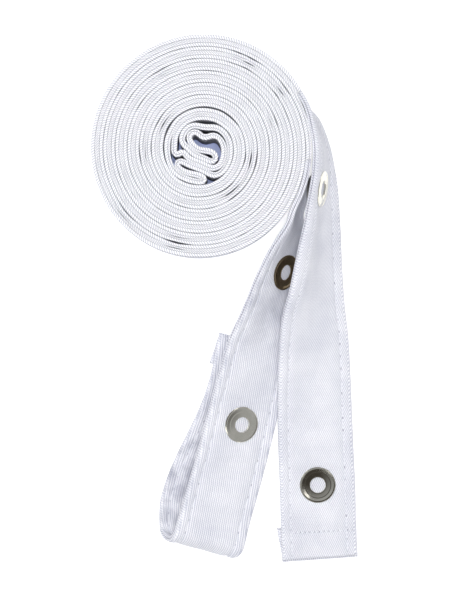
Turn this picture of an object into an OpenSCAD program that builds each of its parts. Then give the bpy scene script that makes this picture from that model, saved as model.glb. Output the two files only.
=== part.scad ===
// Martial arts belt: a double-ply cotton strap with snap fasteners at both ends.
// It is folded at its middle and both halves are wound together into a flat roll that stands
// on one edge of the strap. The two ends leave the roll side by side, lean over and lie flat.
// The front end lies on top and ends in a hem. The rear end is folded under itself.
// The roll's axis is upright, and the ends run towards -Y.

/* [Strap] */
// Width of the strap, and so the height of the roll
strap_w = 38; // [37:0.5:39]
// Thickness of one cotton ply
ply_t = 1.35; // [1.2:0.05:1.4]
// Gap between the two plies
ply_gap = 0.1; // [0.06:0.02:0.12]
// Distance from a seam to the strap's edge
seam_inset = 5; // [4:0.5:6]
// Width of a seam's thread
thread_w = 0.6; // [0.4:0.1:0.8]

/* [Roll] */
// Radius of the middle of the outermost turn
roll_r = 53.9; // [53:0.1:54.5]
// Distance between the middles of two neighbouring straps
strap_pitch = 2.95; // [2.92:0.01:3]
// Half turns that each half of the strap makes
half_turns = 17; // [10:1:17]
// Angle at which the front end leaves the roll
front_exit_a = 30; // [25:1:35]
// Angle at which the rear end leaves the roll
rear_exit_a = -5; // [-8:1:0]

/* [Place] */
// Roll axis, left of the whole object's middle
roll_left = 10.9; // [0:0.1:30]
// Roll axis, behind the whole object's middle
roll_back = 75.35; // [0:0.05:120]

/* [Ends] */
// Depth of the hems
hem_depth = 16; // [12:1:20]
// Slit between an end's root part and its moving part
hinge_slit = 0.4; // [0.3:0.1:0.6]

/* [Snaps] */
// Outer radius of a prong ring
ring_r = 9; // [8:0.5:10]
// Radius of the hole in a prong ring
ring_hole_r = 3.85; // [3.5:0.05:4]
// Radius of the socket's bore
socket_bore_r = 3.05; // [3:0.05:3.2]
// Radius of the stud's post
stud_r = 2.95; // [2.8:0.05:3]
// Prongs on a ring
prongs = 5; // [3:1:6]

/* [Hidden] */
cloth = [0.93, 0.935, 0.95];
cloth_shade = [0.86, 0.87, 0.9];
thread_colour = [0.97, 0.97, 0.98];
metal = [0.62, 0.6, 0.56];
steel_wire = [0.45, 0.45, 0.47];

$fn = 64;
half_t = ply_t + ply_gap / 2;
near_face = ply_gap / 2;
proud = 0.04;
columns = 4;
steps = 4;
end_spacing = 12;
roll_at = [-roll_left, roll_back, 0];

// --- the strap's centreline in the roll: half circles about two centres in turn, in a frame
// that is turned so that the front end leaves the roll at angle 0 ---
function turn_r(j) = roll_r - j * strap_pitch;
function turn_centre(j) = (j % 2 == 0) ? [0, 0] : [-strap_pitch, 0];

// --- cross-sections of the strap where it leaves the roll, as points from its top edge down ---
// x, y: the top edge; lean_top, lean_low: how far the strap leans from upright at its top and
// low edges; flare: the direction in plan in which it leans; clear: how far its low edge is
// above the table
function lean_at(lean_top, lean_low, k) =
    lean_top + (lean_low - lean_top) * pow((k + 0.5) / columns, 2.5);
function step_down(lean_top, lean_low, flare, k) = let (lean = lean_at(lean_top, lean_low, k))
    strap_w / columns * [cos(flare) * sin(lean), sin(flare) * sin(lean), -cos(lean)];
function sum_to(v, n, i = 0) = i >= n ? [0, 0, 0] : v[i] + sum_to(v, n, i + 1);
function leaning(x, y, lean_top, lean_low, flare, clear) = let (
    down = [for (k = [0 : columns - 1]) step_down(lean_top, lean_low, flare, k)],
    top = [x, y, clear + half_t * sin(lean_low) - sum_to(down, columns)[2]]
) [for (k = [0 : columns]) top + sum_to(down, k)];
function straight(left, right) = [for (k = [0 : columns]) left + (right - left) * k / columns];
function flat(x, y, flare, clear) = let (z = half_t + clear)
    straight([x, y, z], [x + strap_w * cos(flare), y + strap_w * sin(flare), z]);
function on_circle(centre, r, a, lean_low) =
    leaning(centre[0] + r * cos(a), centre[1] + r * sin(a), 0, lean_low, a, 0);

// --- a smooth path through the sections; the first and last only set its direction ---
function smooth(a, b, c, d, t) = 0.5 * (2 * b + (c - a) * t
    + (2 * a - 5 * b + 4 * c - d) * t * t + (3 * b - a - 3 * c + d) * t * t * t);
function path(s) = [
    for (i = [1 : len(s) - 3]) for (n = [0 : steps - 1])
        smooth(s[i - 1], s[i], s[i + 1], s[i + 2], n / steps),
    s[len(s) - 2]
];
function unit(v) = v / norm(v);
function run_at(p, i, k) = p[min(i + 1, len(p) - 1)][k] - p[max(i - 1, 0)][k];
function across_at(p, i, k) = p[i][min(k + 1, columns)] - p[i][max(k - 1, 0)];
function normals(p) = [for (i = [0 : len(p) - 1]) [for (k = [0 : columns])
    unit(cross(run_at(p, i, k), across_at(p, i, k)))]];

// a value between the columns of one section: u runs from 0 at the top edge to 1 at the low edge
function between(row, u) = let (k = min(floor(u * columns), columns - 1), f = u * columns - k)
    row[k] * (1 - f) + row[k + 1] * f;
// a section between two of the path's, by a fractional index
function row_at(rows, s) = let (i = min(floor(s), len(rows) - 2), f = s - i)
    rows[i] * (1 - f) + rows[i + 1] * f;
function stops(from, to) = [from, for (i = [floor(from) + 1 : ceil(to) - 1]) i, to];

// --- the front end: from the roll to the hem ---
front_centre = [0, 0];
front_path = path([
    on_circle(front_centre, roll_r, front_exit_a + 8, 0),
    on_circle(front_centre, roll_r, front_exit_a, 0),
    leaning(50.1, 20.9, 0, 8, 22, 0),
    leaning(52.6, 14.0, 1, 24, 15, 0.05),
    leaning(55.2, 3.5, 3, 29, 6, 0.05),
    leaning(55.6, -6.3, 5, 35, 3, 0.1),
    leaning(54.0, -19.4, 6, 57, 1, 0.1),
    leaning(49.4, -36.9, 14, 76, 1, 0.1),
    leaning(45.0, -54.1, 27, 75, 0, 0.1),
    leaning(42.2, -69.9, 36, 80, 0, 0.2),
    leaning(39.4, -81.0, 49, 76, 0, 0.3),
    leaning(37.9, -92.6, 61, 74, 0, 0.4),
    leaning(37.0, -108, 70, 79, 0, 0.7),
    leaning(36.7, -125, 77, 82, 0, 1.4),
    leaning(37.0, -145, 82, 85, 0, 2.5),
    leaning(37.8, -168, 87, 88, 1, 3.2),
    leaning(38.2, -182, 88, 89, 2, 2.8),
    leaning(38.6, -194, 89, 90, 3, 1.8),
    leaning(39.2, -206, 90, 90, 4, 1.6),
    leaning(39.8, -218, 90, 90, 4, 1.6),
]);
front_normals = normals(front_path);
front_hinge = 11.4 * steps;
front_end = len(front_path) - 1;
front_lead_snap = 5 * steps;
front_tip_snap = 14 * steps;
front_hem_start = front_end - hem_depth / end_spacing * steps;

// --- the rear end: from the roll to the fold, round it, and back underneath ---
rear_centre = -strap_pitch * [cos(front_exit_a), sin(front_exit_a)];
rear_path = path([
    on_circle(rear_centre, roll_r, rear_exit_a + 8, 0),
    on_circle(rear_centre, roll_r, rear_exit_a, 0),
    on_circle(rear_centre, roll_r + 0.1, rear_exit_a - 9, 8),
    on_circle(rear_centre, roll_r + 0.3, rear_exit_a - 18, 20),
    on_circle(rear_centre, roll_r + 0.7, rear_exit_a - 27, 34),
    leaning(40.9, -38.0, 10, 50, -28, 0),
    leaning(36.2, -45.0, 18, 60, -24, 0),
    leaning(31.3, -53.0, 28, 64, -20, 0.1),
    leaning(26.0, -63.8, 38, 66, -18, 0.2),
    leaning(22.4, -72.6, 44, 66, -17, 0.7),
    leaning(19.2, -80.0, 48, 67, -16, 2.2),
    leaning(15.8, -87.0, 52, 67, -16, 4.0),
    leaning(12.6, -94.0, 55, 68, -16, 4.7),
    leaning(8.8, -106, 58, 69, -16, 4.6),
    leaning(4.6, -121, 61, 70, -16, 3.5),
    leaning(0.6, -136, 63, 70, -16, 3.3),
    leaning(-3.4, -151, 64, 70, -16, 3.3),
    leaning(-7.4, -165, 65, 70, -17, 3.4),
    leaning(-11.0, -177, 66, 70, -17, 3.6),
    straight([-14.0, -187.5, 18.8], [20.0, -197.6, 5.4]),
    straight([-15.8, -192.0, 16.6], [18.6, -201.6, 5.2]),
    straight([-18.6, -194.2, 10.6], [15.8, -203.6, 3.4]),
    straight([-21.4, -192.4, 4.5], [13.9, -201.6, 2.0]),
    flat(-22.8, -187.8, -17, 0.3),
    flat(-22.4, -176, -17, 0.2),
    flat(-18.6, -163.4, -18, 0.15),
    flat(-14.0, -152.6, -19, 0.15),
    flat(-8.0, -140.5, -19, 0.15),
    flat(-2.4, -128.6, -18, 0.2),
    flat(2.0, -116, -17, 0.9),
    flat(4.9, -104, -15, 1.7),
    flat(7.1, -92, -15, 1.7),
    flat(9.3, -80, -15, 1.7),
]);
rear_normals = normals(rear_path);
rear_hinge = 15.2 * steps;
rear_return_hinge = 25.2 * steps;
rear_end = len(rear_path) - 1;
rear_upper_snap = 6.4 * steps;
rear_lower_snap = 13.75 * steps;
rear_hem_start = rear_end - hem_depth / end_spacing * steps;

// --- the strap in the roll ---
// one arc of a band; from and to are measured outwards from the strap's middle
module arc(centre, mid, from, to, low, high, start, sweep) {
    translate([centre[0], centre[1], low])
        rotate(start)
            rotate_extrude(angle = sweep, $fn = 96)
                translate([mid + from, 0]) square([to - from, high - low]);
}

// the whole wound band: from and to are measured outwards on the front half, which lies outside,
// and inwards on the rear half, because the strap is folded over at the core
module wound(from, to, low, high) {
    last = half_turns - 1;
    core = turn_centre(last) + [(turn_r(last) - strap_pitch / 2) * (half_turns % 2 == 0 ? 1 : -1), 0];
    translate(roll_at) rotate(front_exit_a) {
        for (j = [0 : last]) {
            arc(turn_centre(j), turn_r(j), from, to, low, high, 180 * j, 180);
            arc(turn_centre(j), turn_r(j + 1), -to, -from, low, high, 180 * j, 180);
        }
        mirror([0, 1, 0])
            arc(turn_centre(1), roll_r, -to, -from, low, high, 0, front_exit_a - rear_exit_a);
        arc(core, strap_pitch / 2, from, to, low, high, 180 * half_turns, 180);
    }
}

module roll_front_ply() {
    color(cloth) wound(near_face, half_t, 0, strap_w);
}

module roll_back_ply() {
    color(cloth_shade) wound(-half_t, -near_face, 0, strap_w);
}

module roll_seam_threads() {
    color(thread_colour)
        for (z = [seam_inset, strap_w - seam_inset])
            wound(-half_t - proud, half_t + proud, z - thread_w / 2, z + thread_w / 2);
}

// --- bands of the strap that follow a path ---
// from u0 to u1 across the strap (0 to 1) and from t0 to t1 through it, between two fractional
// indices of the path
module band(rows, normal_rows, start, end, u0, u1, t0, t1, cols = columns) {
    at = stops(start, end);
    points = [for (s = at) let (row = row_at(rows, s), nrow = row_at(normal_rows, s))
        each concat(
            [for (k = [0 : cols]) let (u = u0 + (u1 - u0) * k / cols)
                between(row, u) + t0 * between(nrow, u)],
            [for (k = [cols : -1 : 0]) let (u = u0 + (u1 - u0) * k / cols)
                between(row, u) + t1 * between(nrow, u)])];
    ring = 2 * (cols + 1);
    last = (len(at) - 1) * ring;
    sides = [for (i = [0 : len(at) - 2]) for (m = [0 : ring - 1]) let (
        a = i * ring + m,
        b = i * ring + (m + 1) % ring
    ) each [[a, b, b + ring], [a, b + ring, a + ring]]];
    caps = [for (k = [0 : cols - 1]) let (p = k, q = k + 1, r = ring - 2 - k, s = ring - 1 - k)
        each [[p, r, q], [p, s, r], [last + p, last + q, last + r], [last + p, last + r, last + s]]];
    translate(roll_at) polyhedron(points, concat(sides, caps));
}

module face_ply(rows, normal_rows, start, end) {
    color(cloth) band(rows, normal_rows, start, end, 0, 1, near_face, half_t);
}

module back_ply(rows, normal_rows, start, end) {
    color(cloth_shade) band(rows, normal_rows, start, end, 0, 1, -half_t, -near_face);
}

module seam_threads(rows, normal_rows, start, end) {
    half_u = thread_w / 2 / strap_w;
    color(thread_colour)
        for (u = [seam_inset / strap_w, 1 - seam_inset / strap_w])
            band(rows, normal_rows, start, end, u - half_u, u + half_u,
                -half_t - proud, half_t + proud, 1);
}

module hem_flap(rows, normal_rows, start, end) {
    color(cloth_shade)
        band(rows, normal_rows, start, end, 0.005, 0.995, -half_t - proud - ply_t, -half_t - proud);
}

module hem_thread(rows, normal_rows, start) {
    color(thread_colour)
        band(rows, normal_rows, start, start + 0.25, 0.05, 0.95,
            -half_t - 2 * proud - ply_t, half_t + proud);
}

// --- snap fasteners, built about the middle of the strap with +Z out of its face ---
module at_snap(rows, normal_rows, s, lift = 0) {
    n = unit(between(row_at(normal_rows, s), 0.5));
    p = between(row_at(rows, s), 0.5) + lift * n;
    ahead = between(row_at(rows, s + 0.5), 0.5) - between(row_at(rows, s - 0.5), 0.5);
    x = unit(ahead - n * (ahead * n));
    y = cross(n, x);
    translate(roll_at)
        multmatrix([
            [x[0], y[0], n[0], p[0]],
            [x[1], y[1], n[1], p[1]],
            [x[2], y[2], n[2], p[2]],
            [0, 0, 0, 1],
        ])
            children();
}

// a domed washer with a rolled rim and prongs that pierce the strap
module prong_ring() {
    seat = half_t + proud;
    sheet = 0.45;
    color(metal) {
        rotate_extrude()
            polygon([
                [ring_hole_r, seat], [ring_r - 0.5, seat], [ring_r, seat + 0.2],
                [ring_r, seat + 0.5], [ring_r - 0.35, seat + 0.75], [ring_r - 0.9, seat + 0.62],
                [ring_r - 2.2, seat + 0.95], [ring_hole_r + 1.2, seat + 1.0],
                [ring_hole_r + 0.35, seat + 0.85], [ring_hole_r, seat + 0.45],
            ]);
        for (i = [0 : prongs - 1])
            rotate(360 / prongs * i)
                translate([ring_hole_r, -0.8, -half_t - 1]) cube([sheet, 1.6, 2 * half_t + 1.3]);
    }
}

// the pressed cup that a stud snaps into: flange, wall, and the collar round its bore
module socket() {
    seat = -half_t - proud;
    sheet = 0.4;
    flange_r = 7.6;
    wall_r = 6.8;
    depth = 2.8;
    color(metal)
        rotate_extrude()
            polygon([
                [wall_r - sheet, seat], [flange_r, seat], [flange_r, seat - sheet],
                [wall_r, seat - sheet], [wall_r, seat - depth + sheet],
                [wall_r - sheet, seat - depth], [socket_bore_r, seat - depth],
                [socket_bore_r, seat - sheet], [socket_bore_r + sheet, seat - sheet],
                [socket_bore_r + sheet, seat - depth + sheet],
                [wall_r - sheet, seat - depth + sheet],
            ]);
}

// the split wire ring round the socket's collar
module socket_spring() {
    wire_r = 0.35;
    color(steel_wire)
        translate([0, 0, -half_t - 1.6])
            rotate(25)
                rotate_extrude(angle = 310)
                    translate([socket_bore_r + 1.3, 0]) circle(wire_r, $fn = 24);
}

// the stud: a flange and a hollow post with a rounded head
module stud() {
    seat = -half_t - proud;
    sheet = 0.4;
    flange_r = 7.6;
    post = 3.1;
    color(metal)
        rotate_extrude()
            polygon([
                [stud_r - sheet, seat], [flange_r, seat], [flange_r, seat - sheet],
                [stud_r - 0.15, seat - sheet], [stud_r - 0.15, seat - post + 1.1],
                [stud_r, seat - post + 0.7], [stud_r - 0.3, seat - post + 0.1],
                [stud_r - 0.8, seat - post], [0, seat - post], [0, seat - post + sheet],
                [stud_r - 0.8, seat - post + sheet], [stud_r - 0.15 - sheet, seat - post + 1.1],
            ]);
}

// --- the front end ---
lead_start = 0.1;
front_gap = hinge_slit / 20 * steps;

module front_lead_face_ply() { face_ply(front_path, front_normals, lead_start, front_hinge - front_gap); }
module front_lead_back_ply() { back_ply(front_path, front_normals, lead_start, front_hinge - front_gap); }
module front_lead_seam_threads() {
    seam_threads(front_path, front_normals, lead_start, front_hinge - front_gap);
}
module front_lead_prong_ring() { at_snap(front_path, front_normals, front_lead_snap, 0.5) prong_ring(); }
module front_lead_socket() { at_snap(front_path, front_normals, front_lead_snap) socket(); }
module front_lead_socket_spring() {
    at_snap(front_path, front_normals, front_lead_snap) socket_spring();
}
module front_tip_face_ply() { face_ply(front_path, front_normals, front_hinge, front_end); }
module front_tip_back_ply() { back_ply(front_path, front_normals, front_hinge, front_end); }
module front_tip_seam_threads() { seam_threads(front_path, front_normals, front_hinge, front_end); }
module front_tip_prong_ring() { at_snap(front_path, front_normals, front_tip_snap) prong_ring(); }
module front_tip_socket() { at_snap(front_path, front_normals, front_tip_snap) socket(); }
module front_tip_socket_spring() {
    at_snap(front_path, front_normals, front_tip_snap) socket_spring();
}
module front_hem_flap() { hem_flap(front_path, front_normals, front_hem_start, front_end); }
module front_hem_thread() { hem_thread(front_path, front_normals, front_hem_start + 0.4); }

// --- the rear end ---
rear_gap = hinge_slit / 15 * steps;
return_gap = hinge_slit / 12 * steps;

module rear_lead_face_ply() { face_ply(rear_path, rear_normals, lead_start, rear_hinge - rear_gap); }
module rear_lead_back_ply() { back_ply(rear_path, rear_normals, lead_start, rear_hinge - rear_gap); }
module rear_lead_seam_threads() { seam_threads(rear_path, rear_normals, lead_start, rear_hinge - rear_gap); }
module rear_upper_prong_ring() { at_snap(rear_path, rear_normals, rear_upper_snap, 0.4) prong_ring(); }
module rear_upper_stud() { at_snap(rear_path, rear_normals, rear_upper_snap) stud(); }
module rear_lower_prong_ring() { at_snap(rear_path, rear_normals, rear_lower_snap) prong_ring(); }
module rear_lower_stud() { at_snap(rear_path, rear_normals, rear_lower_snap) stud(); }
module rear_fold_face_ply() { face_ply(rear_path, rear_normals, rear_hinge, rear_return_hinge); }
module rear_fold_back_ply() { back_ply(rear_path, rear_normals, rear_hinge, rear_return_hinge); }
module rear_fold_seam_threads() {
    seam_threads(rear_path, rear_normals, rear_hinge, rear_return_hinge);
}
module rear_return_face_ply() {
    face_ply(rear_path, rear_normals, rear_return_hinge + return_gap, rear_end);
}
module rear_return_back_ply() {
    back_ply(rear_path, rear_normals, rear_return_hinge + return_gap, rear_end);
}
module rear_return_seam_threads() {
    seam_threads(rear_path, rear_normals, rear_return_hinge + return_gap, rear_end);
}
module rear_hem_flap() {
    color(cloth_shade)
        band(rear_path, rear_normals, rear_hem_start, rear_end, 0.005, 0.995,
            half_t + proud, half_t + proud + ply_t);
}
module rear_hem_thread() {
    color(thread_colour)
        band(rear_path, rear_normals, rear_hem_start + 0.4, rear_hem_start + 0.65, 0.05, 0.95,
            -half_t - proud, half_t + 2 * proud + ply_t);
}

roll_front_ply();
roll_back_ply();
roll_seam_threads();
front_lead_face_ply();
front_lead_back_ply();
front_lead_seam_threads();
front_lead_prong_ring();
front_lead_socket();
front_lead_socket_spring();
front_tip_face_ply();
front_tip_back_ply();
front_tip_seam_threads();
front_tip_prong_ring();
front_tip_socket();
front_tip_socket_spring();
front_hem_flap();
front_hem_thread();
rear_lead_face_ply();
rear_lead_back_ply();
rear_lead_seam_threads();
rear_upper_prong_ring();
rear_upper_stud();
rear_lower_prong_ring();
rear_lower_stud();
rear_fold_face_ply();
rear_fold_back_ply();
rear_fold_seam_threads();
rear_return_face_ply();
rear_return_back_ply();
rear_return_seam_threads();
rear_hem_flap();
rear_hem_thread();
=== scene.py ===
"""Looks of the rolled martial arts belt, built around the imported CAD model.

Tables and functions work in millimetres, measured from the roll's axis on the floor, with +Z up.
new_mesh moves what they make into the CAD model's frame, in metres.
"""
import math

import bpy
import numpy as np
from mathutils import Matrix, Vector


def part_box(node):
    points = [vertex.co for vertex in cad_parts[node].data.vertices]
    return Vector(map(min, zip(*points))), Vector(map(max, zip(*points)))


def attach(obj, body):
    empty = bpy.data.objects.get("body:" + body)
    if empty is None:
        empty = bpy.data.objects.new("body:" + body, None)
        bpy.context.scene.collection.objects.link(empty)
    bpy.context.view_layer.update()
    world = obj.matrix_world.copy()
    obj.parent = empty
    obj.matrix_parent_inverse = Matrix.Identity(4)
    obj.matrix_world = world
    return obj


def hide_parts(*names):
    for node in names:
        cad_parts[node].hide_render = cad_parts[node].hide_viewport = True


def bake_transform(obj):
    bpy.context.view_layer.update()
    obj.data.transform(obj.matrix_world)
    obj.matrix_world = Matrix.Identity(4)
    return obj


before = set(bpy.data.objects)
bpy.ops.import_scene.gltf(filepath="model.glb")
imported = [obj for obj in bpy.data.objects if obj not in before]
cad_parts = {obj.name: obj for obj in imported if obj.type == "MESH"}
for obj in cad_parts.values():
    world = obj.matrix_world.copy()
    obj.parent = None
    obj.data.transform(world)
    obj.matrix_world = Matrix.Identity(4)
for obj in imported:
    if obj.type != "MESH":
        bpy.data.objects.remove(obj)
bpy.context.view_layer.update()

MM = 0.001

# --- the strap and the roll, as in the CAD model ---
STRAP_W = 38.0        # width of the strap
HALF_T = 1.4          # half its thickness, over both plies
SEAM_INSET = 5.0      # from an edge to its seam
ROLL_R = 53.9         # from the roll's axis to the middle of the outer turn
STRAP_PITCH = 2.95    # between the middles of two neighbouring straps
HALF_TURNS = 12       # regular half turns of each half of the belt
FRONT_EXIT = 30.0     # angle at which the front end leaves the roll
REAR_EXIT = -5.0      # angle at which the rear end leaves it
ROLL_LOW, ROLL_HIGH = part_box("roll_front_ply")
OUTER_R = ROLL_R + HALF_T
ROLL_AXIS = np.array([ROLL_LOW.x / MM + OUTER_R, ROLL_HIGH.y / MM - OUTER_R, 0.0])

COLUMNS = 24          # columns across a section of the ends
ROW_STEP = 1.3        # spacing of a strap's rows along its length
STITCH_PITCH = 6.2    # from one stitch of a seam to the next
HEM_DEPTH = 16.0      # length of the cloth turned back at a hem
HEM_PITCH = 2.4       # from one stitch across a hem to the next
HEM_LINE = 13.5       # from the end's fold back to the row of stitches


# --- paths of the two ends ---
def unit(v):
    return v / np.maximum(np.linalg.norm(v, axis=-1, keepdims=True), 1e-9)


def rad(degrees):
    return degrees * math.pi / 180


def lengths(line):
    """The length from the start of a line to each of its points."""
    return np.concatenate([[0], np.cumsum(np.linalg.norm(np.diff(line, axis=0), axis=1))])


def leaning(x, y, lean_top, lean_low, flare, clear):
    """A section with its top edge over x, y. It leans from upright by lean_top at that edge to lean_low at
    its low edge, in the direction flare, all in degrees; clear is its height off the floor."""
    late = 2.5        # the power by which the lean comes late on the way down
    k = np.arange(COLUMNS)
    lean = rad(lean_top + (lean_low - lean_top) * ((k + 0.5) / COLUMNS) ** late)
    down = STRAP_W / COLUMNS * np.stack([
        math.cos(rad(flare)) * np.sin(lean), math.sin(rad(flare)) * np.sin(lean), -np.cos(lean)], 1)
    run = np.vstack([np.zeros(3), np.cumsum(down, 0)])
    top = np.array([x, y, clear + HALF_T * math.sin(rad(lean_low)) - run[-1, 2]])
    return top + run


def straight(left, right):
    """A section along the straight line between its two edges."""
    return np.linspace(left, right, COLUMNS + 1)


def flat(x, y, flare, clear):
    """A level section from the edge at x, y in the direction flare, clear of the floor."""
    z = HALF_T + clear
    far_x, far_y = x + STRAP_W * math.cos(rad(flare)), y + STRAP_W * math.sin(rad(flare))
    return straight([x, y, z], [far_x, far_y, z])


def on_circle(centre, r, a, lean_low):
    """A section that still follows the roll, at angle a."""
    return leaning(centre[0] + r * math.cos(rad(a)), centre[1] + r * math.sin(rad(a)), 0, lean_low, a, 0)


def smooth(points, q):
    """Catmull-Rom through points at the parameters q: 0 is the second point."""
    points = np.asarray(points, float)
    q = np.clip(np.asarray(q, float), 0, len(points) - 3 - 1e-9)
    i = q.astype(int)
    t = (q - i).reshape((-1,) + (1,) * (points.ndim - 1))
    a, b, c, d = points[i], points[i + 1], points[i + 2], points[i + 3]
    return 0.5 * (2 * b + (c - a) * t + (2 * a - 5 * b + 4 * c - d) * t * t
                  + (3 * b - a - 3 * c + d) * t ** 3)


FRONT_CENTRE = [0.0, 0.0]
FRONT_SECTIONS = [
    on_circle(FRONT_CENTRE, ROLL_R, FRONT_EXIT + 8, 0),
    on_circle(FRONT_CENTRE, ROLL_R, FRONT_EXIT, 0),
    *[leaning(*row) for row in (
        (50.1, 20.9, 0, 8, 22, 0), (52.6, 14.0, 1, 24, 15, 0.05), (55.2, 3.5, 3, 29, 6, 0.05),
        (55.6, -6.3, 5, 35, 3, 0.1), (54.0, -19.4, 6, 57, 1, 0.1), (49.4, -36.9, 14, 76, 1, 0.1),
        (45.0, -54.1, 27, 75, 0, 0.1), (42.2, -69.9, 36, 80, 0, 0.2), (39.4, -81.0, 49, 76, 0, 0.3),
        (37.9, -92.6, 61, 74, 0, 0.4), (37.0, -108, 70, 79, 0, 0.7), (36.7, -125, 77, 82, 0, 1.4),
        (37.0, -145, 82, 85, 0, 2.5), (37.8, -168, 87, 88, 1, 3.2), (38.2, -182, 88, 89, 2, 2.8),
        (38.6, -194, 89, 90, 3, 1.8), (39.2, -206, 90, 90, 4, 1.6), (39.8, -218, 90, 90, 4, 1.6),
    )],
]

REAR_CENTRE = [-STRAP_PITCH * math.cos(rad(FRONT_EXIT)), -STRAP_PITCH * math.sin(rad(FRONT_EXIT))]
REAR_SECTIONS = [
    *[on_circle(REAR_CENTRE, ROLL_R + out, REAR_EXIT + turned, lean) for out, turned, lean in (
        (0, 8, 0), (0, 0, 0), (0.1, -9, 8), (0.3, -18, 20), (0.7, -27, 34),
    )],
    *[leaning(*row) for row in (
        (40.9, -38.0, 10, 50, -28, 0), (36.2, -45.0, 18, 60, -24, 0), (31.3, -53.0, 28, 64, -20, 0.1),
        (26.0, -63.8, 38, 66, -18, 0.2), (22.4, -72.6, 44, 66, -17, 0.7), (19.2, -80.0, 48, 67, -16, 2.2),
        (15.8, -87.0, 52, 67, -16, 4.0), (12.6, -94.0, 55, 68, -16, 4.7), (8.8, -106, 58, 69, -16, 4.6),
        (4.6, -121, 61, 70, -16, 3.5), (0.6, -136, 63, 70, -16, 3.3), (-3.4, -151, 64, 70, -16, 3.3),
        (-7.4, -165, 65, 70, -17, 3.4), (-11.0, -177, 66, 70, -17, 3.6),
    )],
    straight([-14.0, -187.5, 18.8], [20.0, -197.6, 5.4]),
    straight([-15.8, -192.0, 16.6], [18.6, -201.6, 5.2]),
    straight([-18.6, -194.2, 10.6], [15.8, -203.6, 3.4]),
    straight([-21.4, -192.4, 4.5], [13.9, -201.6, 2.0]),
    *[flat(*row) for row in (
        (-22.8, -187.8, -17, 0.3), (-22.4, -176, -17, 0.2), (-18.6, -163.4, -18, 0.15),
        (-14.0, -152.6, -19, 0.15), (-8.0, -140.5, -19, 0.15), (-2.4, -128.6, -18, 0.2),
        (2.0, -116, -17, 0.9), (4.9, -104, -15, 1.7), (7.1, -92, -15, 1.7), (9.3, -80, -15, 1.7),
    )],
]

# A section's number is its place in its list, where the second one is 0.
# (section at which a snap sits, how far its ring is lifted off the strap's curve)
FRONT_SNAPS = [(5, 0.5), (14, 0)]
REAR_SNAPS = [(6.4, 0.4), (13.75, 0)]
# (section of the hinge line, from there to the start and to the end of the bend)
FRONT_HINGE = (11.4, -22, 26)
REAR_HINGE = (15.2, -11, 16)


# --- a strap as rows of sections ---
def ripple(s, seed, wave):
    """A smooth wobble along s, from about -1 to 1, that comes out the same each run."""
    total = 0
    for n, share in enumerate((0.55, 0.3, 0.15)):
        phase = 1.7 * seed + 2.3 * n * seed
        total = total + share * np.sin(2 * math.pi * s * (1 + 0.77 * n) / wave + phase)
    return total


class Strap:
    """Rows of a strap: its middle surface, its normals, its half thickness and its length so far."""

    def __init__(self, rows, normals, half):
        self.rows, self.normals, self.half = rows, normals, half
        self.s = lengths(rows[:, rows.shape[1] // 2])

    def at(self, u, t):
        """Points at u mm from the top edge and t half thicknesses off the middle, one column per u.
        u and t are arrays of rows by profile points."""
        k = np.clip(u / STRAP_W * (self.rows.shape[1] - 1), 0, self.rows.shape[1] - 1 - 1e-6)
        i = k.astype(int)
        f = (k - i)[..., None]
        r = np.arange(len(self.rows))[:, None]
        p = self.rows[r, i] * (1 - f) + self.rows[r, i + 1] * f
        n = unit(self.normals[r, i] * (1 - f) + self.normals[r, i + 1] * f)
        return p + n * (t * self.half[:, None])[..., None], n


# How far the front end's top margin curls over, in degrees, at the sections from the roll onwards,
# and the share of that turn that the cloth below it takes back, from section 5 and from section 6 on.
CURL_AT = (1, 2, 3, 4, 5, 6, 7, 8, 9, 10, 11)
CURL = (0, 8, 24, 26, 24, 38, 42, 28, 16, 6, 0)
CURL_RETURN = ((5, 6), (0.12, 0.3))
CURL_MARGIN = (4.2, 6.8)      # the distances from the edge between which the margin ends,
CURL_FACE = (20, 26)          # and those between which the cloth below it ends
UPRIGHT = 1e-6                # less than this off the vertical has no direction


def curled(rows, at):
    """Rows whose top margin is laid flatter, with the face under the seam stood up a little."""
    u = (np.arange(COLUMNS) + 0.5) / COLUMNS * STRAP_W
    margin = np.interp(u, CURL_MARGIN, (1, 0))
    face = np.interp(u, CURL_MARGIN + CURL_FACE, (0, 1, 1, 0))
    turn = rad(np.interp(at, CURL_AT, CURL))[:, None]
    turn = turn * (margin - np.interp(at, *CURL_RETURN)[:, None] * face)
    down = np.diff(rows, axis=1)
    level = np.linalg.norm(down[..., :2], axis=-1)
    size = np.linalg.norm(down, axis=-1)
    lean = np.arctan2(level, -down[..., 2]) + turn
    outward = down[..., :2] / np.maximum(level, UPRIGHT)[..., None]
    down = np.concatenate([outward * (size * np.sin(lean))[..., None],
                           -(size * np.cos(lean))[..., None]], -1)
    rise = np.cumsum(down[:, ::-1], axis=1)[:, ::-1]
    return np.concatenate([rows[:, -1:] - rise, rows[:, -1:]], 1)


def follow(sections, step, curl=False):
    """Evenly spaced rows along a list of sections, with their normals and directions."""
    sections = np.array(sections)
    last, samples = len(sections) - 3, 40
    q = np.linspace(0, last, last * samples + 1)
    length = lengths(smooth(sections[:, COLUMNS // 2], q))
    count = int(round(length[-1] / step))
    at = np.interp(np.linspace(0, length[-1], count + 1), length, q)
    rows = smooth(sections, at)
    if curl:
        rows = curled(rows, at)
    run = unit(np.gradient(rows, axis=0))
    across = unit(np.gradient(rows, axis=1))
    return rows, unit(np.cross(run, across)), run


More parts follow.
